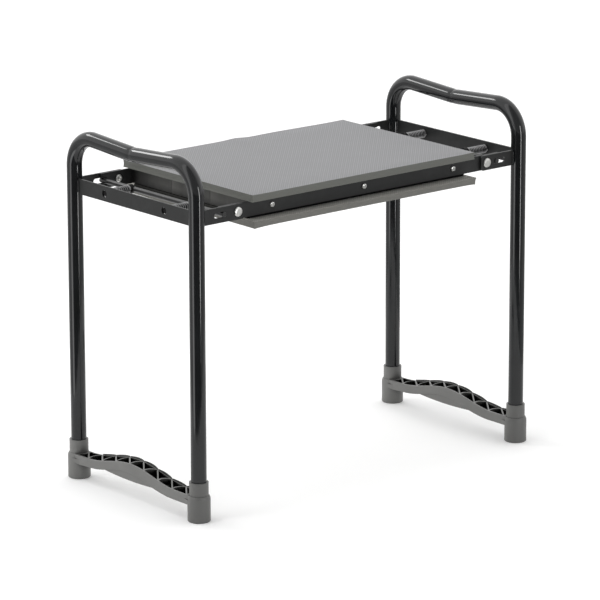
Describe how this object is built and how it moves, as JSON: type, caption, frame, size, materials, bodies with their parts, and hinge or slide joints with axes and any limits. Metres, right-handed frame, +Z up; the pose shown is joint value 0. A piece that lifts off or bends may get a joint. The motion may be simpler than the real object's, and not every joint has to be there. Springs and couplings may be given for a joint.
{
  "type": "garden kneeler seat",
  "caption": "Folding garden kneeler and seat: padded board hinged between two bent-tube leg frames with high handles, sprung lock rods and ribbed foot braces.",
  "frame": {"origin": "on the ground, midway between the two leg frames and midway between the front and rear tubes", "axes": "+Z up, +X along the seat towards the right-hand leg frame, +Y towards the rear"},
  "size_m": [0.601, 0.293, 0.489],
  "materials": {
    "foam_top": "matt closed-cell foam, finely textured",
    "foam_bottom": "matt closed-cell foam",
    "board": "matt black",
    "core": "matt moulded plastic",
    "strip_paint": "satin black powder coat",
    "tube_paint": "gloss near-black powder coat",
    "rod_paint": "black oxide",
    "screw_steel": "bright zinc plated",
    "zinc": "satin zinc plated",
    "spring_zinc": "bright zinc plated wire",
    "foot_plastic": "satin moulded plastic"
  },
  "bodies": {
    "seat": {"top_pad": "foam_top", "kneeling_pad": "foam_bottom", "kneeling_board": "board", "seat_core": "core", "front_rail": "strip_paint", "rear_rail": "strip_paint", "front_rail_screws": "screw_steel", "rear_rail_screws": "screw_steel"},
    "left_leg": {"left_leg_tube": "tube_paint", "left_cross_plate": "strip_paint", "left_front_arm": "strip_paint", "left_rear_arm": "strip_paint", "left_foot_brace": "foot_plastic", "left_front_rivet": "zinc", "left_rear_rivet": "zinc", "left_pivot_washers": "zinc", "left_lock_springs": "spring_zinc"},
    "left_lock": {"left_lock_rod": "rod_paint", "left_guide_pins": "rod_paint"},
    "right_leg": {"right_leg_tube": "tube_paint", "right_cross_plate": "strip_paint", "right_front_arm": "strip_paint", "right_rear_arm": "strip_paint", "right_foot_brace": "foot_plastic", "right_front_rivet": "zinc", "right_rear_rivet": "zinc", "right_pivot_washers": "zinc", "right_lock_springs": "spring_zinc"},
    "right_lock": {"right_lock_rod": "rod_paint", "right_guide_pins": "rod_paint"}
  },
  "joints": [
    {"name": "left_fold", "type": "hinge", "parent": "seat", "child": "left_leg", "pos_m": [-0.2155, 0, 0.4095], "axis": [0, -1, 0], "range_deg": [0, 87]},
    {"name": "left_release", "type": "slide", "parent": "left_leg", "child": "left_lock", "axis": [-1, 0, 0], "range_m": [0, 0.01], "stiffness_N_per_m": 800, "springref_m": -0.01, "deforming": ["left_lock_springs"]},
    {"name": "right_fold", "type": "hinge", "parent": "seat", "child": "right_leg", "pos_m": [0.226, 0, 0.4095], "axis": [0, 1, 0], "range_deg": [0, 92.5]},
    {"name": "right_release", "type": "slide", "parent": "right_leg", "child": "right_lock", "axis": [1, 0, 0], "range_m": [0, 0.01], "stiffness_N_per_m": 800, "springref_m": -0.01, "deforming": ["right_lock_springs"]}
  ]
}
